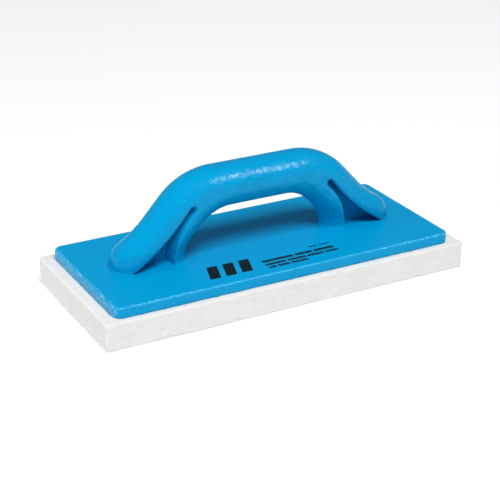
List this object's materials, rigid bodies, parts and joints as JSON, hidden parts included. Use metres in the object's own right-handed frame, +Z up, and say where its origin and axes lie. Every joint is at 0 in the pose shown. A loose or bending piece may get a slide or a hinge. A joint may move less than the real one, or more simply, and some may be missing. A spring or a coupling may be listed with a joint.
{
  "type": "grout float",
  "caption": "Rectangular sponge float with a bridge handle on forked legs, a rigid backing plate and a bonded foam pad.",
  "frame": {"origin": "centre of the sponge pad's working face, which lies on the work", "axes": "+X along the float, +Y across it, +Z up through the handle"},
  "size_m": [0.3, 0.13, 0.0962],
  "materials": {
    "moulded_blue": "satin moulded skin",
    "foam_white": "open-cell sponge",
    "adhesive_clear": "dried contact adhesive",
    "ink_black": "flat printing ink"
  },
  "bodies": {
    "root": {"sponge_pad": "foam_white", "adhesive_film": "adhesive_clear", "backing_plate": "moulded_blue", "handle": "moulded_blue", "printed_emblem": "ink_black", "printed_lines": "ink_black"}
  },
  "joints": []
}
